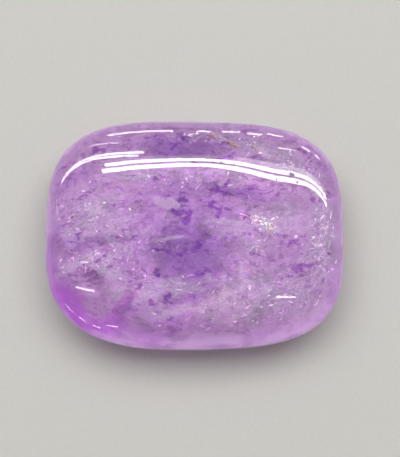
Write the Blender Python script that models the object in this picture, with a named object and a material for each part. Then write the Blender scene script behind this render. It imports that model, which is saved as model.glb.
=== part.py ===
"""A palm stone of amethyst: one piece of crystal, ground and polished all over into a soft pillow.

The long side lies along X, the short side along Y, and the stone rests on a small flat at Z = 0.
Seen from above its outline is a rounded oblong whose four corners differ a little, as hand grinding
leaves them. The crown is low and broad, and grows rounder towards its top. The underside rolls in
to the flat that it rests on.
"""

import math

import bmesh
import bpy
from mathutils import Vector

# Driving dimensions, in metres
LENGTH = 0.050
DEPTH = 0.0392
CROWN_HEIGHT = 0.0072
BASE_DEPTH = 0.0076

# The plan outline: a circle is squareness 2, and a higher number fills the corner further
SQUARENESS_BACK_RIGHT = 3.4
SQUARENESS_BACK_LEFT = 3.6
SQUARENESS_FRONT_LEFT = 2.65
SQUARENESS_FRONT_RIGHT = 3.35
RIGHT_END_TAPER = -0.014

# The share of its squareness that the plan has lost at the very top, and how late it is lost
TOP_ROUNDING = 0.52
ROUNDING_DELAY = 1.5

# The section from the widest line up to the crown, and down to the resting flat
CROWN_FULLNESS = 2.15
UNDERSIDE_FULLNESS = 2.3
UNDERSIDE_REACH = 0.0091
FLAT_BLEND = 0.0009

# Long shallow waves that hand grinding leaves in the polish
WAVE_HEIGHT = 0.00038
WAVE_LENGTH_X = 0.0198
WAVE_LENGTH_Y = 0.0732
WAVE_START_X = 3.24
WAVE_START_Y = -0.54

# Faces along one side of the cube that the surface is cast from
FACES_ALONG_SIDE = 28
# The plan's squareness depends on the height that is sought, so it is worked out in a few rounds
SEARCH_ROUNDS = 8

AMETHYST_COLOUR = (0.42, 0.20, 0.60, 1.0)
POLISH_ROUGHNESS = 0.03
QUARTZ_IOR = 1.544


def clear_scene():
    for obj in list(bpy.data.objects):
        bpy.data.objects.remove(obj)


def amethyst_material():
    material = bpy.data.materials.new("polished_amethyst")
    material.use_nodes = True
    shader = material.node_tree.nodes["Principled BSDF"]
    shader.inputs["Base Color"].default_value = AMETHYST_COLOUR
    shader.inputs["Roughness"].default_value = POLISH_ROUGHNESS
    shader.inputs["Metallic"].default_value = 0.0
    shader.inputs["IOR"].default_value = QUARTZ_IOR
    shader.inputs["Transmission Weight"].default_value = 1.0
    return material


def corner_squareness(angle):
    """The outline's squareness at an angle, which turns smoothly from one corner's value to the next."""
    right = 0.5 * (1.0 + math.cos(angle))
    back = 0.5 * (1.0 + math.sin(angle))
    back_value = right * SQUARENESS_BACK_RIGHT + (1.0 - right) * SQUARENESS_BACK_LEFT
    front_value = right * SQUARENESS_FRONT_RIGHT + (1.0 - right) * SQUARENESS_FRONT_LEFT
    return back * back_value + (1.0 - back) * front_value


def plan_radius(angle, rise):
    """The distance from the middle to the plan outline, whose corners soften as the rise nears 1."""
    squareness = corner_squareness(angle) * (1.0 - TOP_ROUNDING * rise**ROUNDING_DELAY)
    half_length = LENGTH / 2
    half_depth = DEPTH / 2 * (1.0 + RIGHT_END_TAPER * math.cos(angle))
    along = (abs(math.cos(angle)) / half_length) ** squareness
    across = (abs(math.sin(angle)) / half_depth) ** squareness
    return (along + across) ** (-1.0 / squareness)


def flattened(depth):
    """A depth under the widest line, stopped smoothly at the resting flat."""
    start = BASE_DEPTH - FLAT_BLEND
    end = BASE_DEPTH + FLAT_BLEND
    if depth <= start:
        return depth
    if depth >= end:
        return BASE_DEPTH
    return BASE_DEPTH - (end - depth) ** 2 / (4 * FLAT_BLEND)


def polish_wave(point, rise):
    """How far the polish stands proud at a point: nothing on the widest line, most at the top."""
    fade = rise * rise * (3.0 - 2.0 * rise)
    wave_x = math.cos(2 * math.pi * point.x / WAVE_LENGTH_X + WAVE_START_X)
    wave_y = math.cos(2 * math.pi * point.y / WAVE_LENGTH_Y + WAVE_START_Y)
    return WAVE_HEIGHT * fade * wave_x * wave_y


def surface_point(direction):
    """Where a line from the middle of the widest plane meets the stone's surface."""
    angle = math.atan2(direction.y, direction.x)
    level = math.hypot(direction.x, direction.y)
    above = direction.z >= 0.0
    reach = CROWN_HEIGHT if above else UNDERSIDE_REACH
    fullness = CROWN_FULLNESS if above else UNDERSIDE_FULLNESS
    rise = 0.0
    for _ in range(SEARCH_ROUNDS):
        share = (level / plan_radius(angle, rise)) ** fullness + (abs(direction.z) / reach) ** fullness
        point = direction * share ** (-1.0 / fullness)
        rise = min(1.0, abs(point.z) / reach)
    point += direction * polish_wave(point, rise)
    if not above:
        point.z = -flattened(-point.z)
    return point


def centred_on_base(mesh):
    """Moves the stone so that its box is centred on X and Y and the resting flat is at Z = 0."""
    lowest = [min(vert.co[axis] for vert in mesh.verts) for axis in range(3)]
    highest = [max(vert.co[axis] for vert in mesh.verts) for axis in range(3)]
    middle = Vector(((lowest[0] + highest[0]) / 2, (lowest[1] + highest[1]) / 2, lowest[2]))
    bmesh.ops.translate(mesh, vec=-middle, verts=mesh.verts)


def make_stone():
    mesh = bmesh.new()
    bmesh.ops.create_cube(mesh, size=2.0)
    bmesh.ops.subdivide_edges(
        mesh, edges=mesh.edges, cuts=FACES_ALONG_SIDE - 1, use_grid_fill=True
    )
    for vert in mesh.verts:
        # The tangent spreads the cube's grid evenly over the ball that it is cast to
        even = Vector([math.tan(part * math.pi / 4) for part in vert.co])
        vert.co = surface_point(even.normalized())
    centred_on_base(mesh)
    bmesh.ops.triangulate(mesh, faces=mesh.faces)
    bmesh.ops.recalc_face_normals(mesh, faces=mesh.faces)

    data = bpy.data.meshes.new("amethyst")
    mesh.to_mesh(data)
    mesh.free()
    data.shade_smooth()
    data.materials.append(amethyst_material())
    stone = bpy.data.objects.new("amethyst", data)
    bpy.context.scene.collection.objects.link(stone)
    return stone


clear_scene()
make_stone()
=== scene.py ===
"""The looks of an amethyst palm stone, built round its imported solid.

The stone is one clear violet crystal. Inside it lie what the crystal grew with: healed cracks that
scatter pale light, bright flakes, one crack with rainbow colours and a few rust stains. A plain pale
floor, soft light and a camera show it.
"""

import math
import random

import bmesh
import bpy
from bpy.props import FloatProperty, FloatVectorProperty, IntProperty, PointerProperty
from mathutils import Matrix, Vector, noise


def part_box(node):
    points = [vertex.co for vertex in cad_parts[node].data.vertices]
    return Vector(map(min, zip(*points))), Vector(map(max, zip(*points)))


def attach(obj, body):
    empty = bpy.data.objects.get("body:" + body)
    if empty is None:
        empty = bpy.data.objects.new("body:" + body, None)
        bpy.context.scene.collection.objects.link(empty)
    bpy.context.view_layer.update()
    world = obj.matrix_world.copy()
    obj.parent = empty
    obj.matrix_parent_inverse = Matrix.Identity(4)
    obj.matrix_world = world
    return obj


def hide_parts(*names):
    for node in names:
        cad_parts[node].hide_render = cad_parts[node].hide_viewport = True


bl_info = {
    "name": "Amethyst Palm Stone",
    "version": (1, 0, 0),
    "blender": (4, 5, 0),
    "location": "3D View > Sidebar > Amethyst",
    "description": "Dresses a packed palm stone as polished amethyst and sets up its studio",
    "category": "Add Mesh",
}

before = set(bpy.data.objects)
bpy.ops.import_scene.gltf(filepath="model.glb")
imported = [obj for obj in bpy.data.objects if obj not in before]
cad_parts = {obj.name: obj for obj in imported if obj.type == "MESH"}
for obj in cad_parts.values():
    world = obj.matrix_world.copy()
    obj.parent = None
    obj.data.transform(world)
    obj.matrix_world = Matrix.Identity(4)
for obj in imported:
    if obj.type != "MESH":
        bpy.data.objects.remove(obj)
SOLID = "amethyst"
BODY = "root"
CAD_LOW, CAD_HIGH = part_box(SOLID)
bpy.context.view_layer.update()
MM = 0.001

# The stone's own rule, as its solid has it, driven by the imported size
LENGTH = CAD_HIGH.x - CAD_LOW.x
DEPTH = CAD_HIGH.y - CAD_LOW.y
HEIGHT = CAD_HIGH.z - CAD_LOW.z
BASE_DEPTH = HEIGHT * 0.5135
CROWN_HEIGHT = HEIGHT * 0.4865
UNDERSIDE_REACH = BASE_DEPTH * 1.197
FLAT_BLEND = BASE_DEPTH * 0.118
MIDDLE = Vector((0.0, 0.0, BASE_DEPTH))
SQUARENESS_BACK_RIGHT = 3.4
SQUARENESS_BACK_LEFT = 3.6
SQUARENESS_FRONT_LEFT = 2.65
SQUARENESS_FRONT_RIGHT = 3.35
RIGHT_END_TAPER = -0.014
TOP_ROUNDING = 0.52
ROUNDING_DELAY = 1.5
CROWN_FULLNESS = 2.15
UNDERSIDE_FULLNESS = 2.3
WAVE_HEIGHT = 0.38 * MM
WAVE_LENGTH_X = 19.8 * MM
WAVE_LENGTH_Y = 73.2 * MM
WAVE_START_X = 3.24
WAVE_START_Y = -0.54
SEARCH_ROUNDS = 8
HEIGHT_ROUNDS = 16
SLOPE_STEP = 0.1 * MM

# The photograph's frame, in pixels, and where the stone stands in it
PHOTO_WIDTH = 400
PHOTO_HEIGHT = 457
STONE_MIDDLE_PX = (194.5, 234.0)
STONE_LENGTH_PX = 297.2
SENSOR_MM = 36.0


def corner_squareness(angle):
    right = 0.5 * (1.0 + math.cos(angle))
    back = 0.5 * (1.0 + math.sin(angle))
    back_value = right * SQUARENESS_BACK_RIGHT + (1.0 - right) * SQUARENESS_BACK_LEFT
    front_value = right * SQUARENESS_FRONT_RIGHT + (1.0 - right) * SQUARENESS_FRONT_LEFT
    return back * back_value + (1.0 - back) * front_value


def plan_radius(angle, rise):
    """The distance from the middle to the plan outline, whose corners soften as the rise nears 1."""
    squareness = corner_squareness(angle) * (1.0 - TOP_ROUNDING * rise**ROUNDING_DELAY)
    half_depth = DEPTH / 2 * (1.0 + RIGHT_END_TAPER * math.cos(angle))
    along = (abs(math.cos(angle)) / (LENGTH / 2)) ** squareness
    across = (abs(math.sin(angle)) / half_depth) ** squareness
    return (along + across) ** (-1.0 / squareness)


def flattened(depth):
    """A depth under the widest line, stopped smoothly at the resting flat."""
    start = BASE_DEPTH - FLAT_BLEND
    end = BASE_DEPTH + FLAT_BLEND
    if depth <= start:
        return depth
    if depth >= end:
        return BASE_DEPTH
    return BASE_DEPTH - (end - depth) ** 2 / (4 * FLAT_BLEND)


def section_share(offset, rise):
    """How far out an offset from the stone's middle lies: 0 at the middle, 1 at the surface."""
    above = offset.z >= 0.0
    reach = CROWN_HEIGHT if above else UNDERSIDE_REACH
    fullness = CROWN_FULLNESS if above else UNDERSIDE_FULLNESS
    level = math.hypot(offset.x, offset.y)
    radius = plan_radius(math.atan2(offset.y, offset.x), rise)
    return ((level / radius) ** fullness + (abs(offset.z) / reach) ** fullness) ** (1.0 / fullness)


def rise_of(offset):
    """The share of the crown's height, or of the underside's depth, that an offset lies at."""
    return min(1.0, offset.z / CROWN_HEIGHT if offset.z >= 0.0 else -offset.z / UNDERSIDE_REACH)


def polish_wave(point, rise):
    fade = rise * rise * (3.0 - 2.0 * rise)
    wave_x = math.cos(2 * math.pi * point.x / WAVE_LENGTH_X + WAVE_START_X)
    wave_y = math.cos(2 * math.pi * point.y / WAVE_LENGTH_Y + WAVE_START_Y)
    return WAVE_HEIGHT * fade * wave_x * wave_y


def surface_point(direction):
    """Where a line from the middle of the widest plane meets the stone's surface."""
    rise = 0.0
    for _ in range(SEARCH_ROUNDS):
        point = direction / section_share(direction, rise)
        rise = rise_of(point)
    point += direction * polish_wave(point, rise)
    if direction.z < 0.0:
        point.z = -flattened(-point.z)
    return point


def fitted_to_box(mesh):
    """Brings the fine mesh to exactly the box of the solid that it stands for."""
    low = Vector([min(vert.co[axis] for vert in mesh.verts) for axis in range(3)])
    high = Vector([max(vert.co[axis] for vert in mesh.verts) for axis in range(3)])
    for vert in mesh.verts:
        for axis in range(3):
            share = (vert.co[axis] - low[axis]) / (high[axis] - low[axis])
            vert.co[axis] = CAD_LOW[axis] + share * (CAD_HIGH[axis] - CAD_LOW[axis])


def crown_point(across_x, across_y, depth=0.0):
    """The point at a depth under the crown, straight below a spot seen from above."""
    low = 0.0
    high = CROWN_HEIGHT
    for _ in range(HEIGHT_ROUNDS):
        middle = (low + high) / 2
        offset = Vector((across_x, across_y, middle))
        if section_share(offset, rise_of(offset)) < 1.0:
            low = middle
        else:
            high = middle
    return Vector((across_x, across_y, BASE_DEPTH + low - depth))


def new_piece(name, mesh, material, smooth=True):
    """Makes an object from a bmesh, rides it on the stone's body and gives it its material."""
    data = bpy.data.meshes.new(name)
    mesh.to_mesh(data)
    mesh.free()
    if smooth:
        data.shade_smooth()
    data.materials.append(material)
    piece = bpy.data.objects.new(name, data)
    bpy.context.scene.collection.objects.link(piece)
    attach(piece, BODY)
    return piece


def smooth_step(value, low, high):
    share = min(1.0, max(0.0, (value - low) / (high - low)))
    return share * share * (3.0 - 2.0 * share)


def ragged(spot):
    """A spot moved a little by noise, so that a zone that is looked up there has a ragged edge."""
    drift = noise.noise_vector(spot * ZONE_RAG_TURNS) * ZONE_RAG
    drift += noise.noise_vector(spot * (ZONE_RAG_TURNS * 3.5)) * (ZONE_RAG * 0.45)
    return spot + drift


def zone_value(spot, zones):
    """How strongly a spot lies in soft zones seen from above: 0 outside, 1 in a core."""
    best = 0.0
    for centre, size, turn, strength in zones:
        away = Vector((spot.x - centre[0] * MM, spot.y - centre[1] * MM))
        away.rotate(Matrix.Rotation(math.radians(-turn), 2))
        reach = math.hypot(away.x / (size[0] * MM), away.y / (size[1] * MM))
        best = max(best, strength * smooth_step(reach, 1.25, 0.35))
    return best


# Zones: middle in mm, half length and half width in mm, turn in degrees, strength
DEEP_ZONES = (
    ((-1.5, -3.9), (8.6, 7.4), -20.0, 0.95),
    ((-3.5, -0.4), (12.0, 9.0), 10.0, 0.5),
    ((-2.0, 13.6), (8.0, 2.8), -2.0, 1.0),
    ((-2.0, 13.0), (14.0, 3.0), 0.0, 0.5),
    ((6.8, 5.9), (7.5, 2.0), -10.0, 0.8),
    ((-2.5, 5.4), (7.0, 2.4), 4.0, 0.45),
    ((-23.3, -2.0), (1.8, 5.0), 0.0, 0.8),
    ((-18.0, -2.4), (5.0, 1.4), 10.0, 0.6),
    ((-11.5, 1.8), (5.0, 1.2), 14.0, 0.55),
    ((-13.0, 8.0), (5.0, 1.0), 8.0, 0.5),
    ((-11.0, -13.2), (3.0, 1.2), 20.0, 0.6),
    ((-19.5, 8.5), (3.0, 1.6), 30.0, 0.6),
    ((1.0, -8.2), (6.5, 1.8), 10.0, 0.8),
    ((-1.0, -11.6), (6.0, 1.2), 8.0, 0.7),
    ((21.0, 9.5), (2.0, 3.0), 30.0, 0.4),
)
MAGENTA_ZONES = (
    ((-20.4, -12.4), (6.5, 2.3), -50.0, 1.0),
    ((-15.0, -15.6), (5.0, 1.8), -16.0, 0.8),
    ((-12.0, -13.0), (3.5, 1.4), 30.0, 0.7),
    ((-6.0, -16.6), (8.0, 1.8), 0.0, 0.35),
    ((-23.8, -5.0), (1.6, 5.0), 0.0, 0.5),
)
PLUM_ZONES = (
    ((-18.0, -8.4), (4.6, 2.2), -6.0, 0.7),
    ((-8.5, 3.1), (3.2, 1.0), 20.0, 0.7),
    ((8.6, 1.0), (3.0, 1.8), 0.0, 0.8),
    ((-17.0, -2.6), (4.5, 1.0), 12.0, 0.6),
    ((14.0, -4.5), (8.0, 4.0), 0.0, 0.5),
    ((8.0, 13.6), (5.0, 2.4), -20.0, 0.6),
    ((-12.0, -9.0), (4.0, 1.6), 0.0, 0.5),
    ((-14.0, 12.5), (7.0, 1.6), 14.0, 0.5),
)
CLEAR_ZONES = (
    ((-18.0, -8.4), (4.8, 2.3), -6.0, 1.0),
    ((-2.0, 13.6), (8.0, 2.6), -2.0, 1.0),
    ((-1.5, -4.6), (7.4, 6.0), -20.0, 0.85),
    ((6.8, 5.9), (7.5, 1.9), -10.0, 0.6),
    ((-18.6, -12.6), (4.4, 2.6), -42.0, 0.9),
)
# Where the crackle of tiny open cracks lies; its white chips are partly the cracks' own white and partly painted
# glints
CRACKLE_ZONES = (
    ((20.6, -1.8), (2.2, 10.0), 4.0, 1.0),
    ((8.0, -12.4), (9.0, 3.6), 6.0, 0.9),
    ((17.0, -9.5), (5.0, 5.5), 0.0, 0.55),
    ((-17.5, 2.2), (5.5, 4.0), 8.0, 0.9),
    ((-17.0, -4.6), (6.5, 2.0), 10.0, 1.0),
    ((-10.0, -2.0), (6.0, 5.0), 20.0, 0.65),
    ((-1.0, 7.2), (12.0, 1.5), 0.0, 0.75),
    ((10.6, 0.4), (4.0, 2.6), 0.0, 1.0),
    ((15.0, 12.0), (8.0, 2.6), -22.0, 0.8),
    ((2.0, 15.4), (12.0, 1.4), -4.0, 0.8),
    ((-1.0, -9.4), (9.0, 1.6), 8.0, 0.7),
    ((4.0, -1.4), (8.0, 1.6), -14.0, 0.6),
    ((-14.0, 11.0), (5.0, 2.0), 20.0, 0.5),
)
# Narrow pale streaks
STREAK_ZONES = (
    ((-20.4, -6.8), (2.8, 0.5), 22.0, 1.0),
    ((-14.5, -7.6), (4.6, 0.55), -24.0, 1.0),
    ((-18.0, 0.4), (4.2, 0.45), 14.0, 0.8),
    ((-12.6, -3.4), (4.0, 0.5), -38.0, 0.6),
    ((6.1, 0.1), (4.8, 0.45), -11.0, 0.9),
    ((-4.4, -2.4), (3.4, 0.32), 4.0, 0.6),
    ((-3.2, -10.4), (4.6, 0.9), -4.0, 1.0),
    ((-8.6, -12.2), (2.4, 0.6), 24.0, 0.7),
    ((7.9, -8.4), (2.6, 0.4), 92.0, 0.8),
    ((21.5, -1.8), (3.0, 0.6), -72.0, 1.0),
    ((21.3, -6.6), (3.0, 0.6), 66.0, 1.0),
    ((22.9, 3.4), (2.6, 0.5), -84.0, 1.0),
    ((-4.5, 3.7), (2.4, 0.8), -4.0, 1.0),
    ((11.4, 0.2), (2.8, 1.5), -30.0, 1.0),
    ((14.0, 12.4), (7.0, 0.6), -30.0, 0.9),
    ((5.0, 15.2), (4.0, 0.5), -24.0, 0.9),
    ((-15.0, 4.2), (5.0, 0.5), 12.0, 0.6),
)
STREAK_STRENGTH = 2.2
STREAK_RAG = 0.35
ZONE_RAG_TURNS = 230.0
ZONE_RAG = 1.8 * MM
# Where the steep sides start and become fully paler: partly milky quartz, partly painted light gathered through
# the stone
RIM_START = 0.90
RIM_FULL = 0.66
FLOW_TURNS = 110.0
FLOW_REACH = 5.0 * MM
FRAY_TURNS = 900.0
FRAY_REACH = 1.1 * MM
VEIL_CLEARING = 0.75
VEIL_LOSS_IN_DEEP = 0.8


class NodeDesk:
    """Short ways to add and link the nodes of one material."""

    def __init__(self, name):
        self.material = bpy.data.materials.new(name)
        self.material.use_nodes = True
        self.tree = self.material.node_tree
        self.shader = self.tree.nodes["Principled BSDF"]
        self.output = self.tree.nodes["Material Output"]

    def add(self, kind, **settings):
        node = self.tree.nodes.new(kind)
        for key, value in settings.items():
            setattr(node, key, value)
        return node

    def link(self, source, target):
        self.tree.links.new(source, target)

    def set(self, socket, value):
        self.shader.inputs[socket].default_value = value

    def attribute(self, name):
        return self.add("ShaderNodeAttribute", attribute_name=name).outputs["Fac"]

    def coordinates(self, scale=(1.0, 1.0, 1.0), turn=(0.0, 0.0, 0.0), vector=None):
        """Object coordinates, or a vector made from them, turned and stretched."""
        mapping = self.add("ShaderNodeMapping")
        mapping.inputs["Rotation"].default_value = [math.radians(angle) for angle in turn]
        mapping.inputs["Scale"].default_value = scale
        source = vector or self.add("ShaderNodeTexCoord").outputs["Object"]
        self.link(source, mapping.inputs["Vector"])
        return mapping.outputs["Vector"]

    def stirred(self, turns, reach, vector=None):
        """Object coordinates, or a vector made from them, moved by swirls of noise."""
        source = vector or self.add("ShaderNodeTexCoord").outputs["Object"]
        swirl = self.add("ShaderNodeTexNoise")
        swirl.inputs["Scale"].default_value = turns
        swirl.inputs["Detail"].default_value = 2.0
        self.link(source, swirl.inputs["Vector"])
        centred = self.add("ShaderNodeVectorMath", operation="SUBTRACT")
        centred.inputs[1].default_value = (0.5, 0.5, 0.5)
        self.link(swirl.outputs["Color"], centred.inputs[0])
        drift = self.add("ShaderNodeVectorMath", operation="SCALE")
        drift.inputs["Scale"].default_value = reach
        self.link(centred.outputs[0], drift.inputs[0])
        moved = self.add("ShaderNodeVectorMath", operation="ADD")
        self.link(source, moved.inputs[0])
        self.link(drift.outputs[0], moved.inputs[1])
        return moved.outputs[0]

    def cells(self, vector, scale, detail=0.0, roughness=0.5):
        """Crisp-edged cells that each have a chance tone from 0 to 1."""
        node = self.add("ShaderNodeTexVoronoi")
        node.inputs["Scale"].default_value = scale
        node.inputs["Detail"].default_value = detail
        node.inputs["Roughness"].default_value = roughness
        self.link(vector, node.inputs["Vector"])
        return node.outputs["Color"]

    def noise(self, vector, scale, detail=4.0, roughness=0.55, distortion=0.0, kind="FBM"):
        node = self.add("ShaderNodeTexNoise", noise_type=kind)
        node.inputs["Scale"].default_value = scale
        node.inputs["Detail"].default_value = detail
        node.inputs["Roughness"].default_value = roughness
        node.inputs["Distortion"].default_value = distortion
        self.link(vector, node.inputs["Vector"])
        return node.outputs["Fac"]

    def maths(self, operation, first, second=0.0, clamp=False):
        node = self.add("ShaderNodeMath", operation=operation, use_clamp=clamp)
        for socket, value in zip(node.inputs, (first, second)):
            if isinstance(value, (int, float)):
                socket.default_value = value
            else:
                self.link(value, socket)
        return node.outputs["Value"]

    def smooth_range(self, value, low, high, to_low=0.0, to_high=1.0):
        node = self.add("ShaderNodeMapRange", interpolation_type="SMOOTHSTEP")
        node.inputs["From Min"].default_value = low
        node.inputs["From Max"].default_value = high
        node.inputs["To Min"].default_value = to_low
        node.inputs["To Max"].default_value = to_high
        self.link(value, node.inputs["Value"])
        return node.outputs["Result"]

    def blend(self, factor, first, second, mode="MIX"):
        node = self.add("ShaderNodeMix", data_type="RGBA", blend_type=mode)
        sockets = (node.inputs[0], node.inputs[6], node.inputs[7])
        for socket, value in zip(sockets, (factor, first, second)):
            if isinstance(value, (int, float)):
                socket.default_value = value
            elif isinstance(value, bpy.types.NodeSocket):
                self.link(value, socket)
            else:
                socket.default_value = (*tuple(value)[:3], 1.0)
        return node.outputs[2]

    def ramp(self, value, stops):
        """A colour that runs through stops of place and colour."""
        node = self.add("ShaderNodeValToRGB")
        elements = node.color_ramp.elements
        while len(elements) < len(stops):
            elements.new(0.5)
        for element, (place, colour) in zip(elements, stops):
            element.position = place
            element.color = (*colour, 1.0)
        self.link(value, node.inputs["Fac"])
        return node.outputs["Color"]


class AmethystStone(bpy.types.PropertyGroup):
    faces_along_side: IntProperty(name="Faces Along Side", description="Fineness of the stone", default=108)
    absorption_tint: FloatVectorProperty(
        name="Absorption Tint",
        description="The colour that white light turns in the crystal",
        subtype="COLOR",
        default=(0.66, 0.10, 0.92),
    )
    absorption: FloatProperty(name="Absorption", description="Density of the colour", default=18.0)
    refraction: FloatProperty(name="Refraction", description="Index of quartz", default=1.544)
    polish: FloatProperty(name="Polish Roughness", description="Roughness of the polish", default=0.015)
    clearness: FloatProperty(
        name="Clearness", description="Share of light that goes through the skin", default=0.76
    )
    pale_tint: FloatVectorProperty(
        name="Pale Tint", description="Palest quartz", subtype="COLOR", default=(1.0, 0.73, 0.97)
    )
    middle_tint: FloatVectorProperty(
        name="Middle Tint", description="Most of the quartz", subtype="COLOR", default=(0.50, 0.21, 0.60)
    )
    deep_tint: FloatVectorProperty(
        name="Deep Tint", description="Deepest violet zones", subtype="COLOR", default=(0.32, 0.10, 0.62)
    )
    plum_tint: FloatVectorProperty(
        name="Plum Tint", description="Greyish violet zones", subtype="COLOR", default=(0.58, 0.37, 0.64)
    )
    magenta_tint: FloatVectorProperty(
        name="Magenta Tint", description="Reddish violet zones", subtype="COLOR", default=(0.82, 0.34, 0.96)
    )
    # Rim colour: partly milky quartz, partly painted light standing in for light gathered through the stone to
    # its steep sides
    rim_milk_and_light_tint: FloatVectorProperty(
        name="Rim Tint", description="Milky lilac rim", subtype="COLOR", default=(0.95, 0.70, 1.0)
    )
    # Pale tint of the streaks and of the crackle's chips; on the chips it is partly painted glint as well as the
    # white of tiny open cracks
    glint_tint: FloatVectorProperty(
        name="Glint Tint", description="Tiny open cracks", subtype="COLOR", default=(1.0, 0.92, 0.99)
    )


class AmethystInside(bpy.types.PropertyGroup):
    crack_colour: FloatVectorProperty(
        name="Crack Colour", description="Healed cracks", subtype="COLOR", default=(0.84, 0.62, 0.90)
    )
    pink_colour: FloatVectorProperty(
        name="Pink Crack Colour", description="Pinkish cracks", subtype="COLOR", default=(0.90, 0.66, 0.86)
    )
    haze: FloatProperty(name="Haze", description="Cover of the side haze", default=0.95)
    haze_faces: IntProperty(name="Haze Faces", description="Faces along a side of the haze", default=44)
    haze_colour: FloatVectorProperty(
        name="Haze Colour", description="Haze under the sides", subtype="COLOR", default=(0.90, 0.64, 1.0)
    )
    pale_haze_colour: FloatVectorProperty(
        name="Pale Haze Colour", description="Palest of the side haze", subtype="COLOR", default=(0.93, 0.78, 1.0)
    )
    crack_rows: IntProperty(name="Crack Rows", description="Grid rows of one large crack", default=90)
    veil_rows: IntProperty(name="Veil Rows", description="Grid rows of one veil", default=30)
    smallest_flake: FloatProperty(
        name="Smallest Flake", description="Half width", unit="LENGTH", default=0.05 * MM
    )
    largest_flake: FloatProperty(
        name="Largest Flake", description="Half width", unit="LENGTH", default=0.26 * MM
    )
    smallest_shard: FloatProperty(
        name="Smallest Shard", description="Half width", unit="LENGTH", default=0.07 * MM
    )
    largest_shard: FloatProperty(
        name="Largest Shard", description="Half width", unit="LENGTH", default=0.32 * MM
    )
    flake_colour: FloatVectorProperty(
        name="Flake Colour", description="Bright flakes", subtype="COLOR", default=(1.0, 0.95, 0.99)
    )
    stain_colour: FloatVectorProperty(
        name="Stain Colour", description="Rust stains", subtype="COLOR", default=(0.30, 0.09, 0.05)
    )
    speck_colour: FloatVectorProperty(
        name="Speck Colour", description="Dark specks", subtype="COLOR", default=(0.16, 0.05, 0.16)
    )


class AmethystStudio(bpy.types.PropertyGroup):
    floor_colour: FloatVectorProperty(
        name="Floor Colour", description="Plain pale floor", subtype="COLOR", default=(0.605, 0.60, 0.562)
    )
    elevation: FloatProperty(
        name="Camera Elevation", description="Above the horizon", subtype="ANGLE", default=math.radians(76.0)
    )
    distance: FloatProperty(
        name="Camera Distance", description="To the stone", unit="LENGTH", default=0.25
    )
    sky: FloatProperty(name="Sky Strength", description="Even light", default=0.30)
    ceiling: FloatProperty(name="Ceiling Radiance", description="Soft light from above", default=2.95)
    tube: FloatProperty(name="Tube Radiance", description="Ceiling tubes", default=20.0)
    tube_inside: FloatProperty(name="Tube Radiance Inside", description="Tubes through the stone", default=5.0)
    thin_tube: FloatProperty(name="Thin Tube Radiance", description="Thin ceiling tubes", default=18.0)
    far_lamp: FloatProperty(name="Far Lamp Radiance", description="Far lamps", default=11.0)
    inside_glow: FloatProperty(name="Inside Glow", description="Light gathered by the crystal", default=3.6)
    rim_glow: FloatProperty(name="Rim Glow", description="Light gathered by the sides", default=3.8)


class AMETHYST_OT_stone(bpy.types.Operator):
    """Makes the clear violet stone in place of its plain solid"""

    bl_idname = "amethyst.stone"
    bl_label = "Stone"

    def execute(self, context):
        looks = context.scene.amethyst_stone
        mesh = bmesh.new()
        bmesh.ops.create_cube(mesh, size=2.0)
        cuts = looks.faces_along_side - 1
        bmesh.ops.subdivide_edges(mesh, edges=mesh.edges, cuts=cuts, use_grid_fill=True)
        for vert in mesh.verts:
            even = Vector([math.tan(part * math.pi / 4) for part in vert.co])
            vert.co = surface_point(even.normalized())
        fitted_to_box(mesh)
        bmesh.ops.recalc_face_normals(mesh, faces=mesh.faces)
        mesh.normal_update()
        add_zone_layers(mesh)
        piece = new_piece("amethyst_crystal", mesh, crystal_material(looks))
        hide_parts(SOLID)
        return {"FINISHED"}


def add_zone_layers(mesh):
    """Writes how strongly each kind of zone shows at every point of the crown, and where the steep rim is, whose
    paler lilac is partly milky quartz and partly painted light.
    """
    kinds = {
        "deep": DEEP_ZONES,
        "magenta": MAGENTA_ZONES,
        "plum": PLUM_ZONES,
        "crackle": CRACKLE_ZONES,
        "pale": [veil_zone(veil) for veil in VEILS],
    }
    layers = {name: mesh.verts.layers.float.new(name) for name in (*kinds, "rim")}
    for vert in mesh.verts:
        # The rim mask follows how steep the surface is: partly milky quartz, partly painted light at the sides
        vert[layers["rim"]] = smooth_step(abs(vert.normal.z), RIM_START, RIM_FULL)
        if vert.co.z < MIDDLE.z:
            continue
        spot = ragged(vert.co)
        for name, zones in kinds.items():
            vert[layers[name]] = zone_value(spot, zones)
        veiled = vert[layers["pale"]] * (1.0 - zone_value(spot, CLEAR_ZONES))
        veiled *= 1.0 - VEIL_LOSS_IN_DEEP * vert[layers["deep"]]
        streaked = STREAK_STRENGTH * zone_value(vert.co.lerp(spot, STREAK_RAG), STREAK_ZONES)
        vert[layers["pale"]] = max(veiled, streaked)


def veil_zone(veil):
    """The zone over a veil, where the quartz is clear and lets the veil's own pale colour show."""
    middle, size, turn, _tilt_x, _tilt_y, strength = veil
    return (middle[:2], (size[0] / 2, size[1] / 2), turn, min(1.0, strength * VEIL_CLEARING))


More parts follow.
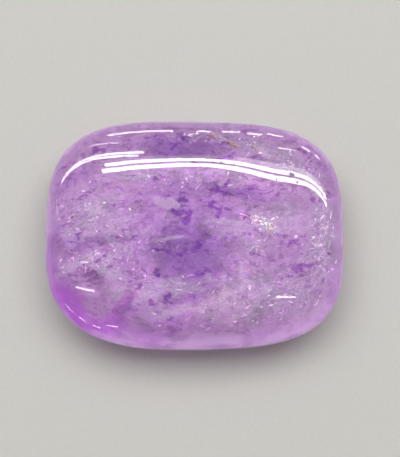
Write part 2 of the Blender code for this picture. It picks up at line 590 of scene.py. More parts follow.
def crystal_material(looks):
    """Clear quartz whose violet lies in clouds and fine streaks, with a thin milky skin."""
    desk = NodeDesk("clear_violet_quartz")
    flow = desk.coordinates((0.6, 1.1, 1.0), (0, 0, 9), desk.stirred(FLOW_TURNS, FLOW_REACH))
    frayed = desk.stirred(FRAY_TURNS, FRAY_REACH, flow)
    clouds = desk.noise(frayed, 420, 4.0, 0.6)
    shards = desk.cells(frayed, 620, 2.0, 0.7)
    fibres = desk.noise(flow, 1300, 5.0, 0.7)
    chips = desk.cells(desk.stirred(FRAY_TURNS, FRAY_REACH), 1900)
    patches = desk.maths("ADD", desk.maths("MULTIPLY", clouds, 0.68), desk.maths("MULTIPLY", shards, 0.32))
    colour = desk.blend(desk.smooth_range(patches, 0.52, 0.56), looks.middle_tint, looks.pale_tint)
    depth = desk.maths("ADD", desk.smooth_range(patches, 0.60, 0.46), 0.60)
    deep = desk.maths("MULTIPLY", desk.attribute("deep"), depth, clamp=True)
    colour = desk.blend(deep, colour, looks.deep_tint)
    plum = desk.maths("MULTIPLY", desk.attribute("plum"), desk.smooth_range(fibres, 0.56, 0.46), clamp=True)
    colour = desk.blend(plum, colour, looks.plum_tint)
    colour = desk.blend(desk.smooth_range(fibres, 0.46, 0.41, 0.0, 0.75), colour, looks.plum_tint, "MULTIPLY")
    pale = desk.attribute("pale")
    level = desk.maths("ADD", patches, desk.maths("MULTIPLY", pale, 0.09))
    wisps = desk.maths("MULTIPLY", pale, desk.smooth_range(level, 0.56, 0.61), clamp=True)
    # Partly painted light: the steep rim is made paler lilac where light through the stone gathers, as well as by
    # its milky quartz
    colour = desk.blend(desk.attribute("rim"), colour, looks.rim_milk_and_light_tint)
    colour = desk.blend(wisps, colour, looks.glint_tint)
    crackle = desk.attribute("crackle")
    # Partly painted glints: white chips in the crackle stand in for sparkles that catch the light, as well as the
    # white of tiny open cracks
    glints = desk.maths("MULTIPLY", crackle, desk.smooth_range(chips, 0.66, 0.70), clamp=True)
    shades = desk.maths("MULTIPLY", crackle, desk.smooth_range(chips, 0.34, 0.28, 0.0, 0.55), clamp=True)
    colour = desk.blend(glints, colour, looks.glint_tint)
    colour = desk.blend(shades, colour, looks.plum_tint, "MULTIPLY")
    colour = desk.blend(desk.attribute("magenta"), colour, looks.magenta_tint)
    desk.link(colour, desk.shader.inputs["Base Color"])
    desk.set("Roughness", looks.polish)
    desk.set("IOR", looks.refraction)
    desk.set("Transmission Weight", looks.clearness)
    depth_tint = desk.add("ShaderNodeVolumeAbsorption")
    depth_tint.inputs["Color"].default_value = (*looks.absorption_tint, 1.0)
    depth_tint.inputs["Density"].default_value = looks.absorption
    desk.link(depth_tint.outputs["Volume"], desk.output.inputs["Volume"])
    return desk.material


# Each sheet: middle in mm, length and width in mm, turn about Z, tilt about X and about Y, strength
CRACKS = (
    ((-2.0, 1.0, 11.4), (46.0, 34.0), 4.0, 5.0, 2.0, 0.45),
    ((2.0, 5.0, 10.0), (48.0, 32.0), -8.0, 14.0, -3.0, 0.45),
    ((-5.0, -6.0, 9.4), (46.0, 32.0), 10.0, -12.0, 4.0, 0.50),
    ((6.0, -8.0, 8.2), (42.0, 30.0), 6.0, 20.0, -4.0, 0.55),
    ((0.0, 0.0, 6.6), (54.0, 44.0), -4.0, -6.0, 3.0, 1.5),
    ((0.0, -1.0, 4.2), (54.0, 44.0), 0.0, 4.0, -3.0, 2.4),
)
VEILS = (
    ((-17.0, -5.6, 10.8), (12.0, 3.6), 8.0, 22.0, 0.0, 1.5),
    ((-13.5, -7.4, 11.3), (8.0, 2.6), -28.0, 18.0, 0.0, 1.5),
    ((-16.5, 3.4, 11.2), (11.0, 6.0), 8.0, 10.0, -10.0, 1.3),
    ((-13.0, 0.4, 12.0), (10.0, 4.0), 24.0, 8.0, 0.0, 1.2),
    ((-18.0, -0.8, 10.6), (9.0, 3.0), 14.0, 20.0, -12.0, 1.1),
    ((13.0, 12.6, 10.4), (14.0, 4.0), -24.0, 22.0, 3.0, 1.3),
    ((4.0, 15.0, 10.2), (10.0, 2.6), -16.0, 26.0, 0.0, 1.1),
    ((19.0, 9.6, 9.8), (7.0, 3.0), -38.0, 12.0, 10.0, 1.2),
    ((8.7, -11.9, 11.2), (16.0, 9.0), 4.0, -10.0, 3.0, 1.2),
    ((3.5, -13.4, 11.0), (10.0, 4.0), 14.0, -14.0, 0.0, 1.2),
    ((17.2, -10.5, 9.8), (9.0, 8.0), 10.0, -10.0, 14.0, 1.0),
    ((20.6, -2.4, 10.0), (6.0, 18.0), -4.0, 0.0, 32.0, 1.5),
    ((21.6, 1.2, 9.8), (3.6, 5.0), 0.0, 0.0, 36.0, 1.7),
    ((-2.8, -10.0, 12.5), (9.0, 2.6), 14.0, -12.0, 0.0, 1.5),
    ((-7.0, -11.2, 12.0), (7.0, 2.0), -14.0, -16.0, 0.0, 1.3),
    ((-3.6, -14.2, 11.2), (10.0, 2.6), 6.0, -20.0, 0.0, 1.2),
    ((-3.7, 2.1, 13.4), (3.6, 1.9), -4.0, 0.0, 0.0, 1.5),
    ((-10.0, 8.2, 12.6), (10.0, 2.6), 2.0, 6.0, 0.0, 1.2),
    ((1.0, 7.4, 13.0), (12.0, 1.8), -4.0, 6.0, 0.0, 1.1),
    ((4.9, -1.0, 13.2), (9.0, 2.0), -14.0, 10.0, 0.0, 1.3),
    ((14.6, 1.0, 11.6), (9.0, 6.0), 12.0, 6.0, 6.0, 1.0),
    ((10.0, -4.0, 12.2), (7.0, 4.0), 0.0, 6.0, 0.0, 0.9),
    ((-12.1, -10.6, 11.2), (5.0, 3.0), 8.0, -8.0, 0.0, 1.2),
    ((-4.0, -1.0, 12.8), (9.0, 2.0), 10.0, 4.0, 0.0, 0.9),
)
PINK_ZONES = (
    ((3.0, -12.0), (8.0, 4.0), 0.0, 1.0),
    ((-12.0, -10.5), (4.0, 2.5), 0.0, 1.0),
    ((-14.0, 9.0), (6.0, 3.0), 10.0, 0.8),
    ((10.0, 14.0), (8.0, 3.0), -20.0, 0.9),
    ((-8.0, 3.0), (8.0, 4.0), 10.0, 0.6),
)
# The side haze: how near the surface it lies, how far it reaches above the widest line
HAZE_SHARE = 0.985
HAZE_TOP = 2.9 * MM
HAZE_FADE = 3.2 * MM
HAZE_FRONT_RISE = 1.7 * MM
CRACK_WAVE = 0.7 * MM
CRACK_WAVE_TURNS = 190.0
PATCH_TURNS = 300.0
CLEAR_RIM = 0.95
RIM_FADE = 0.16


def crack_place(crack):
    middle, size, turn, tilt_x, tilt_y, _strength = crack
    place = Matrix.Translation(Vector(middle) * MM)
    place @= Matrix.Rotation(math.radians(turn), 4, "Z")
    place @= Matrix.Rotation(math.radians(tilt_x), 4, "X")
    place @= Matrix.Rotation(math.radians(tilt_y), 4, "Y")
    place @= Matrix.Diagonal((size[0] * MM, size[1] * MM, 1.0, 1.0))
    return place


def inside_share(point):
    """How near the stone's surface a point lies: under 1 inside, and 1 on it or under the flat."""
    offset = point - MIDDLE
    if offset.length < 1e-9:
        return 0.0
    return max(section_share(offset, rise_of(offset)), -offset.z / BASE_DEPTH)


def add_crack(mesh, crack, rows, seed):
    """A wavy sheet, cut to the stone, whose strength fades out towards its edges."""
    strength_layer = mesh.verts.layers.float["strength"]
    pink_layer = mesh.verts.layers.float["pink"]
    place = crack_place(crack)
    across = place.to_3x3().col[2].normalized()
    columns = max(6, round(rows * min(1.0, crack[1][1] / crack[1][0])))
    made = bmesh.ops.create_grid(mesh, x_segments=rows, y_segments=columns, size=0.5)
    far = []
    for vert in made["verts"]:
        fade = smooth_step(2.0 * vert.co.xy.length, 1.0, 0.35)
        vert.co = place @ vert.co
        ripple = noise.fractal(vert.co * CRACK_WAVE_TURNS + Vector((seed, 0.0, 0.0)), 0.8, 2.0, 4)
        patch = noise.fractal(vert.co * PATCH_TURNS + Vector((0.0, seed, 0.0)), 0.8, 2.0, 3)
        vert.co += across * (ripple * CRACK_WAVE)
        share = inside_share(vert.co)
        fade *= smooth_step(share, CLEAR_RIM, CLEAR_RIM - RIM_FADE)
        spot = ragged(vert.co)
        clear = 1.0 - zone_value(spot, CLEAR_ZONES)
        vert[strength_layer] = crack[-1] * fade * clear * min(1.0, max(0.0, 0.75 + patch))
        vert[pink_layer] = zone_value(spot, PINK_ZONES)
        if share > CLEAR_RIM:
            far.append(vert)
    bmesh.ops.delete(mesh, geom=far, context="VERTS")


class AMETHYST_OT_cracks(bpy.types.Operator):
    """Makes the healed cracks that scatter pale light inside the stone"""

    bl_idname = "amethyst.cracks"
    bl_label = "Healed Cracks"

    def execute(self, context):
        looks = context.scene.amethyst_inside
        for name, cracks, rows in (
            ("healed_cracks", CRACKS, looks.crack_rows),
            ("pale_veils", VEILS, looks.veil_rows),
        ):
            mesh = bmesh.new()
            mesh.verts.layers.float.new("strength")
            mesh.verts.layers.float.new("pink")
            for seed, crack in enumerate(cracks):
                add_crack(mesh, crack, rows, seed * 7.3)
            new_piece(name, mesh, crack_material(looks, name))
        return {"FINISHED"}


class AMETHYST_OT_haze(bpy.types.Operator):
    """Makes the lilac haze that lies close under the polished sides"""

    bl_idname = "amethyst.haze"
    bl_label = "Side Haze"

    def execute(self, context):
        looks = context.scene.amethyst_inside
        mesh = bmesh.new()
        bmesh.ops.create_cube(mesh, size=2.0)
        cuts = looks.haze_faces - 1
        bmesh.ops.subdivide_edges(mesh, edges=mesh.edges, cuts=cuts, use_grid_fill=True)
        strength = mesh.verts.layers.float.new("strength")
        magenta = mesh.verts.layers.float.new("magenta")
        high = []
        for vert in mesh.verts:
            even = Vector([math.tan(part * math.pi / 4) for part in vert.co])
            vert.co = MIDDLE + surface_point(even.normalized()) * HAZE_SHARE
            above = vert.co.z - MIDDLE.z
            front = max(0.0, -vert.co.y / (DEPTH / 2))
            top = HAZE_TOP + HAZE_FRONT_RISE * front**2
            vert[strength] = looks.haze * smooth_step(above, top, top - HAZE_FADE)
            vert[magenta] = zone_value(ragged(vert.co), MAGENTA_ZONES)
            if above > top:
                high.append(vert)
        bmesh.ops.delete(mesh, geom=high, context="VERTS")
        bmesh.ops.reverse_faces(mesh, faces=mesh.faces)
        desk = NodeDesk("side_haze")
        cloud = desk.noise(desk.coordinates((0.6, 0.6, 1.0)), 300, 4.0, 0.6, 0.6)
        cover = desk.smooth_range(cloud, 0.35, 0.60, 0.55, 1.0)
        alpha = desk.maths("MULTIPLY", cover, desk.attribute("strength"), clamp=True)
        desk.link(alpha, desk.shader.inputs["Alpha"])
        tint = desk.blend(desk.smooth_range(cloud, 0.42, 0.6), looks.haze_colour, looks.pale_haze_colour)
        tint = desk.blend(desk.attribute("magenta"), tint, context.scene.amethyst_stone.magenta_tint)
        desk.link(tint, desk.shader.inputs["Base Color"])
        desk.set("Roughness", 0.5)
        new_piece("side_haze", mesh, desk.material)
        return {"FINISHED"}


def crack_material(looks, name):
    """Thin milky feathers with frayed edges, drawn out along the stone's length."""
    desk = NodeDesk(name)
    flow = desk.coordinates((0.5, 1.15, 1.0), (0, 0, 8), desk.stirred(FLOW_TURNS, FLOW_REACH))
    wisps = desk.noise(flow, 900, 6.0, 0.74, 0.8)
    strength = desk.attribute("strength")
    level = desk.maths("ADD", wisps, desk.maths("MULTIPLY", strength, 0.16))
    cover = desk.smooth_range(level, 0.58, 0.68, 0.0, 0.72)
    alpha = desk.maths("MULTIPLY", cover, strength, clamp=True)
    desk.link(alpha, desk.shader.inputs["Alpha"])
    colour = desk.blend(desk.attribute("pink"), looks.crack_colour, looks.pink_colour)
    colour = desk.blend(desk.smooth_range(wisps, 0.60, 0.45, 0.0, 0.5), colour, (0.70, 0.50, 0.85))
    desk.link(colour, desk.shader.inputs["Base Color"])
    desk.set("Roughness", 0.5)
    return desk.material


# Clusters of flakes: middle in mm, half length and half width in mm, turn in degrees, number
FLAKE_CLUSTERS = (
    ((20.7, -1.8), (1.8, 9.0), 4.0, 390),
    ((21.6, 1.4), (1.2, 3.0), 0.0, 135),
    ((8.5, -12.2), (9.0, 4.0), 4.0, 390),
    ((17.0, -10.0), (5.0, 6.0), 0.0, 120),
    ((-18.0, 2.2), (5.0, 4.0), 8.0, 255),
    ((-16.3, -4.8), (6.5, 2.2), 8.0, 285),
    ((-10.5, -2.4), (6.0, 6.0), 0.0, 180),
    ((-1.0, 7.0), (12.0, 1.6), 0.0, 165),
    ((11.0, 0.2), (3.0, 2.2), 0.0, 225),
    ((15.0, 12.0), (7.0, 2.4), -22.0, 135),
    ((1.7, 15.3), (11.0, 1.4), -4.0, 120),
    ((-1.0, -9.6), (9.0, 1.8), 8.0, 180),
    ((0.0, 0.0), (20.0, 15.0), 0.0, 230),
)
# Flakes that stand out one by one: place and depth in mm, half length and half width in mm, turn
BRIGHT_FLAKES = (
    (-12.1, -8.7, 0.9, 0.34, 0.20, 10.0),
    (-9.6, -8.0, 0.9, 0.36, 0.16, -5.0),
    (-5.7, -16.1, 0.9, 0.34, 0.24, 20.0),
    (-2.3, -17.1, 0.8, 0.34, 0.14, -40.0),
    (-21.8, -6.3, 1.2, 0.24, 0.22, 60.0),
    (-21.5, -7.0, 1.2, 0.34, 0.10, -50.0),
    (-11.0, -4.1, 0.9, 0.42, 0.11, 48.0),
    (22.9, 0.2, 0.9, 0.80, 0.11, 82.0),
    (20.5, -2.2, 1.0, 1.10, 0.09, 84.0),
    (21.7, 1.0, 1.1, 0.50, 0.32, 60.0),
    (21.0, -4.8, 1.0, 0.24, 0.20, 30.0),
    (20.1, -7.4, 1.0, 0.26, 0.16, 40.0),
    (20.6, -6.2, 1.0, 0.30, 0.22, 0.0),
    (3.0, -15.4, 0.9, 0.40, 0.16, 42.0),
    (7.2, -7.2, 0.9, 0.55, 0.11, 80.0),
    (6.0, -8.9, 0.9, 0.30, 0.12, 20.0),
    (-7.5, 8.3, 0.9, 0.36, 0.13, -60.0),
    (-4.9, 7.7, 0.9, 0.24, 0.09, 85.0),
    (-1.9, 7.2, 0.9, 0.26, 0.09, 60.0),
    (-8.5, 6.7, 0.9, 0.32, 0.18, 15.0),
    (-8.6, 4.4, 0.9, 0.26, 0.16, -30.0),
    (16.6, -1.7, 1.0, 0.40, 0.20, 50.0),
    (11.0, -4.2, 1.0, 0.34, 0.14, -30.0),
    (-16.2, -6.2, 1.1, 0.34, 0.18, 20.0),
    (-17.3, 7.9, 0.9, 0.30, 0.10, 80.0),
    (22.6, 2.6, 0.7, 0.90, 0.12, 84.0),
    (22.2, -2.6, 0.8, 0.80, 0.12, 74.0),
    (21.4, -5.4, 0.8, 0.60, 0.14, 66.0),
    (21.9, 5.2, 0.8, 0.60, 0.12, 100.0),
    (20.2, 3.4, 0.9, 0.50, 0.10, 70.0),
    (19.6, -9.4, 0.8, 0.50, 0.12, 50.0),
    (18.6, -12.0, 0.8, 0.40, 0.12, 40.0),
    (-22.4, 1.8, 0.8, 0.40, 0.10, 10.0),
    (-20.8, 1.2, 0.8, 0.60, 0.10, 20.0),
    (-19.6, -4.2, 0.8, 0.60, 0.12, 24.0),
    (-22.0, -5.2, 0.7, 0.50, 0.12, 50.0),
)
FLAKE_SHALLOWEST = 0.5 * MM
FLAKE_DEEPEST = 2.2 * MM
FLAKE_THICKNESS = 0.012 * MM
FLAKE_STRETCHES = ((0.9, 0.6), (1.4, 0.45), (2.4, 0.36), (3.6, 0.28))
FLAKE_SIZE_BIAS = 2.4
FLAKE_TURN = 0.3
FLAKE_TURN_SPREAD = 0.9
FLAKE_LEAN = -0.13
FLAKE_FOLLOW = 0.35
FLAKE_TILT = 0.16
FLAKE_RIM = 0.93


class AMETHYST_OT_flakes(bpy.types.Operator):
    """Scatters the bright flakes along the healed cracks"""

    bl_idname = "amethyst.flakes"
    bl_label = "Bright Flakes"

    def execute(self, context):
        looks = context.scene.amethyst_inside
        draw = random.Random(11)
        mesh = bmesh.new()
        for cluster in FLAKE_CLUSTERS:
            scatter_flakes(mesh, cluster, looks.smallest_flake, looks.largest_flake, draw)
        for x, y, depth, length, width, turn in BRIGHT_FLAKES:
            place = (x * MM, y * MM, depth * MM)
            add_flake(mesh, place, MM, (length, width), math.radians(turn), draw)
        new_piece("bright_flakes", mesh, flake_material(looks), smooth=False)
        return {"FINISHED"}


def scatter_flakes(mesh, cluster, smallest, largest, draw):
    """Strews flakes about a cluster's middle, most of them small."""
    centre, size, turn, number = cluster
    spread = Matrix.Rotation(math.radians(turn), 2) @ Matrix(((size[0], 0.0), (0.0, size[1])))
    for _ in range(number):
        spot = spread @ Vector((draw.gauss(0.0, 0.55), draw.gauss(0.0, 0.55)))
        spot = (spot + Vector(centre)) * MM
        if section_share(Vector((spot.x, spot.y, 0.0)), 0.0) > FLAKE_RIM:
            continue
        depth = draw.uniform(FLAKE_SHALLOWEST, FLAKE_DEEPEST)
        span = smallest * (largest / smallest) ** (draw.random() ** FLAKE_SIZE_BIAS)
        turn_about = draw.gauss(FLAKE_TURN, FLAKE_TURN_SPREAD)
        add_flake(mesh, (spot.x, spot.y, depth), span, draw.choice(FLAKE_STRETCHES), turn_about, draw)


def add_flake(mesh, place, span, stretch, turn, draw):
    """A thin closed plate with a ragged outline, nearly level, that follows the crown's slope a little."""
    spot = crown_point(*place)
    along = crown_point(place[0] + SLOPE_STEP, place[1], place[2]).z - spot.z
    across = crown_point(place[0], place[1] + SLOPE_STEP, place[2]).z - spot.z
    lean_x = FLAKE_FOLLOW * math.atan2(across, SLOPE_STEP) + FLAKE_LEAN
    lean_y = -FLAKE_FOLLOW * math.atan2(along, SLOPE_STEP)
    place = Matrix.Translation(spot)
    place @= Matrix.Rotation(draw.gauss(lean_x, FLAKE_TILT), 4, "X")
    place @= Matrix.Rotation(draw.gauss(lean_y, FLAKE_TILT), 4, "Y")
    place @= Matrix.Rotation(turn, 4, "Z")
    place @= Matrix.Diagonal((stretch[0] * span, stretch[1] * span, 1.0, 1.0))
    made = bmesh.ops.create_cone(
        mesh,
        cap_ends=True,
        segments=draw.choice((4, 5, 6)),
        radius1=1.0,
        radius2=0.8,
        depth=FLAKE_THICKNESS,
        matrix=place,
    )
    for vert in made["verts"]:
        vert.co += Vector((draw.uniform(-0.3, 0.3), draw.uniform(-0.3, 0.3), 0.0)) * (stretch[1] * span)


def flake_material(looks):
    desk = NodeDesk("bright_flake")
    tone = desk.noise(desk.coordinates(), 1300, 2.0, 0.5)
    colour = desk.blend(desk.smooth_range(tone, 0.45, 0.6), looks.flake_colour, looks.pink_colour)
    desk.link(colour, desk.shader.inputs["Base Color"])
    desk.set("Metallic", 1.0)
    desk.set("Roughness", 0.22)
    return desk.material


# The crack with rainbow colours: clusters of shards told as the flakes' are
RAINBOW_CLUSTERS = (
    ((11.2, 0.7), (1.4, 0.5), -28.0, 130),
    ((12.3, -0.4), (0.8, 0.6), -40.0, 110),
    ((9.9, -3.6), (1.6, 1.4), 20.0, 40),
    ((9.0, 1.6), (1.8, 0.5), 10.0, 30),
)
RAINBOW_STOPS = (
    (0.30, (1.0, 0.96, 1.0)),
    (0.42, (0.30, 0.95, 0.90)),
    (0.48, (0.95, 1.0, 0.98)),
    (0.54, (1.0, 0.80, 0.42)),
    (0.60, (1.0, 0.55, 0.75)),
    (0.70, (0.95, 0.95, 1.0)),
)


class AMETHYST_OT_rainbow(bpy.types.Operator):
    """Makes the small open crack that shows rainbow colours"""

    bl_idname = "amethyst.rainbow"
    bl_label = "Rainbow Crack"

    def execute(self, context):
        looks = context.scene.amethyst_inside
        draw = random.Random(23)
        mesh = bmesh.new()
        for cluster in RAINBOW_CLUSTERS:
            scatter_flakes(mesh, cluster, looks.smallest_shard, looks.largest_shard, draw)
        desk = NodeDesk("rainbow_crack")
        hue = desk.noise(desk.coordinates((0.7, 1.0, 1.0), (0, 0, 30)), 1500, 2.0, 0.5)
        desk.link(desk.ramp(hue, RAINBOW_STOPS), desk.shader.inputs["Base Color"])
        desk.set("Metallic", 1.0)
        desk.set("Roughness", 0.2)
        new_piece("rainbow_crack", mesh, desk.material, smooth=False)
        return {"FINISHED"}


# Grains in the stone: place and depth in mm, half width in mm
RUST_STAINS = (
    (2.4, 15.9, 0.6, 0.25),
    (3.2, 15.7, 0.6, 0.43),
    (4.2, 15.4, 0.6, 0.33),
    (5.6, 14.6, 0.6, 0.30),
    (6.2, 14.3, 0.6, 0.53),
    (6.9, 13.9, 0.6, 0.43),
    (9.7, 13.8, 0.6, 0.38),
    (10.2, 13.3, 0.6, 0.25),
    (-20.2, 1.9, 0.6, 0.30),
    (-19.7, 2.6, 0.6, 0.25),
    (17.6, 13.8, 0.6, 0.22),
)
DARK_SPECKS = (
    (-22.5, 4.4, 1.2, 0.16),
    (-20.9, 4.0, 1.2, 0.14),
    (-20.1, -3.6, 1.2, 0.22),
    (-19.5, -3.8, 1.2, 0.16),
    (-9.7, 2.8, 1.3, 0.20),
    (-9.2, 3.1, 1.3, 0.24),
    (-8.8, 3.3, 1.3, 0.18),
    (11.2, -7.3, 1.0, 0.18),
    (1.7, -11.8, 1.0, 0.20),
    (13.1, -13.0, 0.9, 0.14),
    (16.3, -15.1, 0.9, 0.14),
    (22.0, 6.0, 1.0, 0.16),
    (-0.4, 15.9, 1.0, 0.14),
    (-3.0, 15.5, 1.0, 0.16),
    (8.2, 1.2, 1.4, 0.30),
    (9.0, 1.6, 1.4, 0.20),
)


class AMETHYST_OT_grains(bpy.types.Operator):
    """Makes the rust stains and the dark specks inside the stone"""

    bl_idname = "amethyst.grains"
    bl_label = "Stains and Specks"

    def execute(self, context):
        looks = context.scene.amethyst_inside
        for name, grains, colour in (
            ("rust_stains", RUST_STAINS, looks.stain_colour),
            ("dark_specks", DARK_SPECKS, looks.speck_colour),
        ):
            mesh = bmesh.new()
            draw = random.Random(name)
            for x, y, depth, span in grains:
                add_grain(mesh, crown_point(x * MM, y * MM, depth * MM), span * MM, draw)
            new_piece(name, mesh, grain_material(name, colour))
        return {"FINISHED"}


def add_grain(mesh, spot, span, draw):
    """A lumpy flattened grain."""
    place = Matrix.Translation(spot)
    place @= Matrix.Rotation(draw.uniform(0.0, math.pi), 4, "Z")
    place @= Matrix.Diagonal((draw.uniform(0.9, 1.6), draw.uniform(0.5, 0.9), 0.4, 1.0))
    made = bmesh.ops.create_icosphere(mesh, subdivisions=2, radius=span, matrix=place)
    for vert in made["verts"]:
        vert.co += noise.noise_vector(vert.co / span) * (span * 0.35)


def grain_material(name, colour):
    desk = NodeDesk(name)
    tone = desk.noise(desk.coordinates(), 6000, 3.0, 0.6)
    paler = [min(1.0, part * 1.8) for part in colour]
    desk.link(desk.blend(desk.smooth_range(tone, 0.4, 0.6), colour, paler), desk.shader.inputs["Base Color"])
    desk.set("Roughness", 0.8)
    return desk.material


# Tiny pits that the polish left open, drawn as matt discs whose dark colour is painted shade: place and half
# width in mm
PITS = (
    (4.55, 10.60, 0.32),
    (6.55, 10.50, 0.22),
    (5.10, 9.83, 0.18),
    (16.16, 8.91, 0.46),
    (13.60, 7.95, 0.20),
    (17.10, 7.69, 0.24),
    (-20.73, 10.62, 0.18),
    (-11.74, 11.85, 0.27),
    (-12.22, 10.82, 0.09),
    (-15.06, 9.72, 0.08),
    (10.20, 9.60, 0.08),
    (2.00, -13.00, 0.08),
    (-9.00, -1.00, 0.07),
)
PIT_THICKNESS = 0.03 * MM
PIT_SUNK = 0.008 * MM


class AMETHYST_OT_pits(bpy.types.Operator):
    """Makes the tiny matt pits in the polish, as discs whose dark colour is painted shade"""

    bl_idname = "amethyst.pits"
    bl_label = "Polish Pits"

    def execute(self, context):
        mesh = bmesh.new()
        draw = random.Random(5)
        stone = bpy.data.objects["amethyst_crystal"]
        for x, y, span in PITS:
            above = Vector((x * MM, y * MM, 2 * HEIGHT))
            _hit, spot, up, _face = stone.ray_cast(above, Vector((0.0, 0.0, -1.0)))
            place = Matrix.Translation(spot - up * PIT_SUNK) @ up.to_track_quat("Z", "Y").to_matrix().to_4x4()
            place @= Matrix.Diagonal((span * MM, span * MM * draw.uniform(0.7, 1.0), 1.0, 1.0))
            bmesh.ops.create_cone(
                mesh, cap_ends=True, segments=12, radius1=1.0, radius2=1.0, depth=PIT_THICKNESS, matrix=place
            )
        # The pits' dark colour is painted shade of a hollow that catches no lamp; their matt roughness is their
        # own
        desk = NodeDesk("pit_painted_shade")
        tone = desk.noise(desk.coordinates(), 9000, 3.0, 0.6)
        colour = desk.blend(desk.smooth_range(tone, 0.4, 0.6), (0.20, 0.15, 0.24), (0.34, 0.27, 0.38))
        desk.link(colour, desk.shader.inputs["Base Color"])
        desk.set("Roughness", 0.9)
        new_piece("polish_pits", mesh, desk.material, smooth=False)
        return {"FINISHED"}


class AMETHYST_OT_studio(bpy.types.Operator):
    """Sets up the pale floor, the soft light and the camera"""

    bl_idname = "amethyst.studio"
    bl_label = "Studio"

    def execute(self, context):
        looks = context.scene.amethyst_studio
        add_floor(looks)
        add_sky(looks)
        add_lamps(looks)
        add_camera(looks)
        clear_path(context.scene)
        return {"FINISHED"}


def add_floor(looks):
    mesh = bmesh.new()
    bmesh.ops.create_grid(mesh, x_segments=1, y_segments=1, size=4.0)
    bmesh.ops.translate(mesh, vec=(0.0, 0.0, -0.05 * MM), verts=mesh.verts)
    data = bpy.data.meshes.new("floor")
    mesh.to_mesh(data)
    mesh.free()
    floor = bpy.data.objects.new("floor", data)
    bpy.context.scene.collection.objects.link(floor)
    desk = NodeDesk("pale_floor")
    grain = desk.noise(desk.coordinates(), 1700, 5.0, 0.7)
    darker = [part * 0.93 for part in looks.floor_colour]
    lighter = [part * 1.07 for part in looks.floor_colour]
    desk.link(desk.blend(grain, darker, lighter), desk.shader.inputs["Base Color"])
    desk.set("Roughness", 0.8)
    data.materials.append(desk.material)


def add_sky(looks):
    world = bpy.data.worlds.new("even_light")
    world.use_nodes = True
    background = world.node_tree.nodes["Background"]
    background.inputs["Color"].default_value = (1.0, 0.99, 0.97, 1.0)
    background.inputs["Strength"].default_value = looks.sky
    bpy.context.scene.world = world


def add_lamp(name, left, right, width, radiance, seen_by):
    """A long flat lamp between two points that faces the stone, seen by the kinds of light named."""
    left = Vector(left)
    right = Vector(right)
    centre = (left + right) / 2
    length = (right - left).length
    data = bpy.data.lights.new(name, "AREA")
    data.shape = "RECTANGLE"
    data.size = length
    data.size_y = width
    data.energy = radiance * math.pi * length * width
    lamp = bpy.data.objects.new(name, data)
    bpy.context.scene.collection.objects.link(lamp)
    along = (right - left).normalized()
    away = centre - MIDDLE
    away = (away - along * away.dot(along)).normalized()
    turned = Matrix((along, away.cross(along), away)).transposed().to_4x4()
    lamp.matrix_world = Matrix.Translation(centre) @ turned
    lamp.visible_camera = False
    lamp.visible_diffuse = "diffuse" in seen_by
    lamp.visible_glossy = "glossy" in seen_by
    lamp.visible_transmission = "transmission" in seen_by


# Ceiling tubes in pairs: left end, right end and width, in metres, for a ceiling one metre up
CEILING = 1.0
TUBES = (
    ((-0.70, 0.923), (1.64, 0.766), 0.052),
    ((-0.71, 0.824), (1.64, 0.666), 0.054),
    ((-2.60, 1.508), (-0.23, 1.121), 0.046),
    ((-2.60, 1.419), (-0.29, 1.042), 0.042),
)
# The pale housings beside the tubes, told in the same way, with their share of the tubes' light
HOUSINGS = (
    ((0.10, 0.945), (1.68, 0.84), 0.100, 0.22),
    ((-0.75, 0.985), (0.10, 0.93), 0.070, 0.10),
    ((-0.75, 0.745), (0.30, 0.675), 0.110, 0.07),
    ((-2.60, 1.58), (-0.20, 1.18), 0.070, 0.10),
)
THIN_TUBES = (
    ((-1.53, 2.42), (-0.70, 1.80), 0.035),
    ((0.78, 1.65), (1.07, 1.79), 0.035),
    ((-0.97, -0.29), (-0.62, -0.30), 0.022),
    ((0.41, -0.334), (0.60, -0.34), 0.022),
    ((-5.20, -2.50), (-3.60, -2.50), 0.20),
    ((-2.95, -2.51), (-2.52, -2.59), 0.16),
    ((-1.99, -2.53), (-1.72, -2.62), 0.16),
    ((-0.93, -1.42), (-0.67, -1.31), 0.05),
    ((-4.55, 2.17), (-2.84, 0.90), 0.05),
)
# Lamps far off behind: the directions of the two ends and the elevation, in degrees
FAR_LAMPS = (
    (-20.8, 0.0, 10.3),
    (1.4, 6.2, 10.0),
    (8.5, 14.1, 11.3),
    (15.2, 20.3, 6.8),
    (29.8, 35.4, 12.8),
    (38.8, 43.0, 9.5),
)
FAR_DISTANCE = 5.0
FAR_WIDTH = 0.40


def far_point(turn, elevation):
    across = FAR_DISTANCE * math.cos(math.radians(elevation))
    height = FAR_DISTANCE * math.sin(math.radians(elevation))
    turn = math.radians(turn)
    return (across * math.sin(turn), across * math.cos(turn), height)


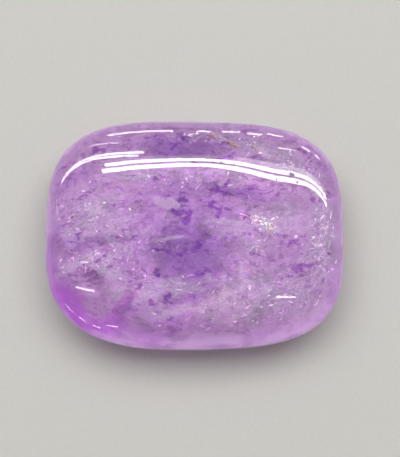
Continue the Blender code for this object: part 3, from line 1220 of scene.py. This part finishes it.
def add_lamps(looks):
    def ceiling_ends(left, right):
        return ((*left, CEILING), (*right, CEILING))

    mirrored = ("glossy",)
    inside = ("transmission",)
    for number, (left, right, width) in enumerate(TUBES):
        ends = ceiling_ends(left, right)
        add_lamp(f"tube_{number}", *ends, width, looks.tube, mirrored)
        add_lamp(f"tube_inside_{number}", *ends, width, looks.tube_inside, inside)
    for number, (left, right, width, share) in enumerate(HOUSINGS):
        add_lamp(f"housing_{number}", *ceiling_ends(left, right), width, looks.tube * share, mirrored)
    for number, (left, right, width) in enumerate(THIN_TUBES):
        add_lamp(f"thin_tube_{number}", *ceiling_ends(left, right), width, looks.thin_tube, mirrored)
    for number, (start, stop, elevation) in enumerate(FAR_LAMPS):
        ends = (far_point(start, elevation), far_point(stop, elevation))
        add_lamp(f"far_lamp_{number}", *ends, FAR_WIDTH, looks.far_lamp, mirrored)
    soft_ends = ((-0.8, 0.30, CEILING), (0.8, 0.30, CEILING))
    add_lamp("soft_ceiling", *soft_ends, 0.7, looks.ceiling, ("diffuse",))
    add_lamp("inside_glow", (-0.55, 0.60, 0.75), (0.55, 0.60, 0.75), 0.75, looks.inside_glow, inside)
    add_lamp("front_glow", (-0.70, -0.75, 0.40), (0.70, -0.75, 0.40), 0.5, looks.rim_glow, inside)
    add_lamp("left_glow", (-0.85, -0.45, 0.35), (-0.85, 0.45, 0.35), 0.4, looks.rim_glow * 0.15, inside)
    add_lamp("right_glow", (0.85, -0.45, 0.35), (0.85, 0.45, 0.35), 0.4, looks.rim_glow * 0.5, inside)


def add_camera(looks):
    pixels_per_metre = STONE_LENGTH_PX / LENGTH
    data = bpy.data.cameras.new("camera")
    data.sensor_width = SENSOR_MM
    data.lens = SENSOR_MM * looks.distance * pixels_per_metre / PHOTO_HEIGHT
    camera = bpy.data.objects.new("camera", data)
    bpy.context.scene.collection.objects.link(camera)
    back = Vector((0.0, -math.cos(looks.elevation), math.sin(looks.elevation)))
    right = Vector((1.0, 0.0, 0.0))
    up = back.cross(right)
    aim = (
        MIDDLE
        + right * ((PHOTO_WIDTH / 2 - STONE_MIDDLE_PX[0]) / pixels_per_metre)
        + up * ((STONE_MIDDLE_PX[1] - PHOTO_HEIGHT / 2) / pixels_per_metre)
    )
    camera.location = aim + back * looks.distance
    camera.rotation_euler = back.to_track_quat("Z", "Y").to_euler()
    data.clip_start = 0.01
    data.clip_end = 10.0
    bpy.context.scene.camera = camera


def clear_path(scene):
    """Lets light through as many clear and wispy layers as the stone has."""
    scene.cycles.max_bounces = 24
    scene.cycles.transmission_bounces = 20
    scene.cycles.transparent_max_bounces = 48
    scene.cycles.sample_clamp_indirect = 4.0
    scene.view_settings.view_transform = "Standard"


class AMETHYST_PT_panel(bpy.types.Panel):
    bl_idname = "AMETHYST_PT_panel"
    bl_label = "Amethyst Palm Stone"
    bl_space_type = "VIEW_3D"
    bl_region_type = "UI"
    bl_category = "Amethyst"

    def draw(self, context):
        for group, operators in LAYOUT:
            box = self.layout.box()
            looks = getattr(context.scene, group)
            for name in looks.__annotations__:
                box.prop(looks, name)
            for operator in operators:
                box.operator(operator.bl_idname)


LAYOUT = (
    ("amethyst_stone", (AMETHYST_OT_stone,)),
    (
        "amethyst_inside",
        (
            AMETHYST_OT_cracks,
            AMETHYST_OT_haze,
            AMETHYST_OT_flakes,
            AMETHYST_OT_rainbow,
            AMETHYST_OT_grains,
            AMETHYST_OT_pits,
        ),
    ),
    ("amethyst_studio", (AMETHYST_OT_studio,)),
)
GROUPS = {
    "amethyst_stone": AmethystStone,
    "amethyst_inside": AmethystInside,
    "amethyst_studio": AmethystStudio,
}
CLASSES = (
    *GROUPS.values(),
    AMETHYST_OT_stone,
    AMETHYST_OT_cracks,
    AMETHYST_OT_haze,
    AMETHYST_OT_flakes,
    AMETHYST_OT_rainbow,
    AMETHYST_OT_grains,
    AMETHYST_OT_pits,
    AMETHYST_OT_studio,
    AMETHYST_PT_panel,
)


def register():
    for item in CLASSES:
        bpy.utils.register_class(item)
    for name, group in GROUPS.items():
        setattr(bpy.types.Scene, name, PointerProperty(type=group))


def unregister():
    for name in GROUPS:
        delattr(bpy.types.Scene, name)
    for item in reversed(CLASSES):
        bpy.utils.unregister_class(item)


def main():
    register()
    bpy.ops.amethyst.studio()
    bpy.ops.amethyst.stone()
    bpy.ops.amethyst.cracks()
    bpy.ops.amethyst.haze()
    bpy.ops.amethyst.flakes()
    bpy.ops.amethyst.rainbow()
    bpy.ops.amethyst.grains()
    bpy.ops.amethyst.pits()


if __name__ == "__main__":
    main()
